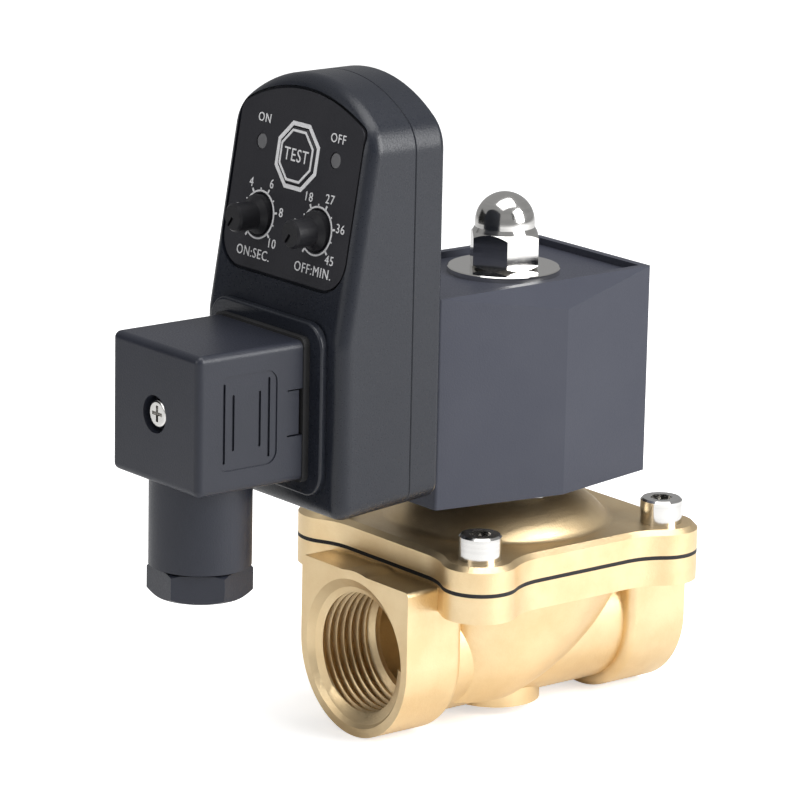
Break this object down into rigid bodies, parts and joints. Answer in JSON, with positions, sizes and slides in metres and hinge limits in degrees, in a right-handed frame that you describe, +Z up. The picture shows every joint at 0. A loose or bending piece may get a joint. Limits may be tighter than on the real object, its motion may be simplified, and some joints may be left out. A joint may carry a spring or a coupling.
{
  "type": "automatic drain valve",
  "caption": "Timer-controlled pilot-operated diaphragm drain valve: threaded brass body, bonnet, clamped coil, plug-on timer with dials and test button, and right-angle cable plug",
  "frame": {"origin": "centre of the inlet port's mouth, on the port's sealing face", "axes": "+Y runs from the inlet to the outlet along the flow axis; +Z is up, along the stem; +X completes a right-handed frame, to the right seen from the inlet end"},
  "size_m": [0.0612, 0.1219, 0.135],
  "materials": {
    "cast_brass": "fine cast texture, satin",
    "turned_brass": "turned",
    "bright_steel": "bright nickel plate",
    "stainless_steel": "turned stainless steel",
    "zinc_steel": "zinc-plated pressing",
    "tinned_brass": "tin-plated",
    "copper_wire": "enamelled wire",
    "black_rubber": "moulded, matt",
    "coil_plastic": "glass-filled moulding, satin",
    "case_plastic": "satin moulding",
    "panel_plastic": "printed panel, satin",
    "knob_plastic": "satin moulding",
    "lamp_plastic": "diffusing lens, unlit",
    "trimmer_plastic": "moulded",
    "board_laminate": "solder mask",
    "pale_plastic": "moulded",
    "plug_plastic": "satin moulding",
    "insert_plastic": "moulded"
  },
  "bodies": {
    "valve": {"valve_body": "cast_brass", "bonnet": "cast_brass", "diaphragm": "black_rubber", "bonnet_screws": "bright_steel", "guide_tube": "stainless_steel", "fixed_core": "stainless_steel", "plunger_spring": "stainless_steel", "tube_o_ring": "black_rubber", "coil_yoke": "zinc_steel", "coil_bobbin": "pale_plastic", "coil_winding": "copper_wire", "coil_blades": "tinned_brass", "coil_shell": "coil_plastic", "coil_washer": "bright_steel", "cap_nut": "bright_steel", "coil_gasket": "black_rubber", "timer_back_cover": "case_plastic", "timer_front_shell": "case_plastic", "timer_panel": "panel_plastic", "on_lamp": "lamp_plastic", "off_lamp": "lamp_plastic", "on_time_trimmer": "trimmer_plastic", "off_time_trimmer": "trimmer_plastic", "circuit_board": "board_laminate", "test_switch": "trimmer_plastic", "relay": "trimmer_plastic", "timer_socket": "pale_plastic", "timer_blades": "tinned_brass", "plug_gasket": "black_rubber", "plug_housing": "plug_plastic", "terminal_block": "insert_plastic", "plug_screw": "bright_steel", "gland_seal": "black_rubber", "gland_ring": "bright_steel", "gland_nut": "plug_plastic"},
    "plunger": {"plunger": "stainless_steel", "plunger_seal": "black_rubber"},
    "disc": {"diaphragm_plate": "turned_brass", "diaphragm_retainer": "turned_brass"},
    "test_button": {"test_button": "panel_plastic"},
    "on_knob": {"on_time_knob": "knob_plastic"},
    "off_knob": {"off_time_knob": "knob_plastic"}
  },
  "joints": [
    {"name": "plunger_lift", "type": "slide", "parent": "valve", "child": "plunger", "axis": [0, 0, 1], "range_m": [0, 0.005], "stiffness_N_per_m": 400, "springref_m": -0.004, "deforming": ["plunger_spring"]},
    {"name": "disc_lift", "type": "slide", "parent": "valve", "child": "disc", "axis": [0, 0, 1], "range_m": [0, 0.0039], "deforming": ["diaphragm"]},
    {"name": "test_press", "type": "slide", "parent": "valve", "child": "test_button", "axis": [0, 0.986, -0.1668], "range_m": [0, 0.0006], "stiffness_N_per_m": 2500, "springref_m": -0.0002},
    {"name": "on_time_turn", "type": "hinge", "parent": "valve", "child": "on_knob", "pos_m": [-0.0091, -0.01808, 0.08972], "axis": [0, 1, 0], "range_deg": [0, 270]},
    {"name": "off_time_turn", "type": "hinge", "parent": "valve", "child": "off_knob", "pos_m": [0.0091, -0.01808, 0.08972], "axis": [0, 1, 0], "range_deg": [0, 270]}
  ],
  "couplings": [
    {"joint": "disc_lift", "follows": "plunger_lift", "ratio": 0.75}
  ]
}
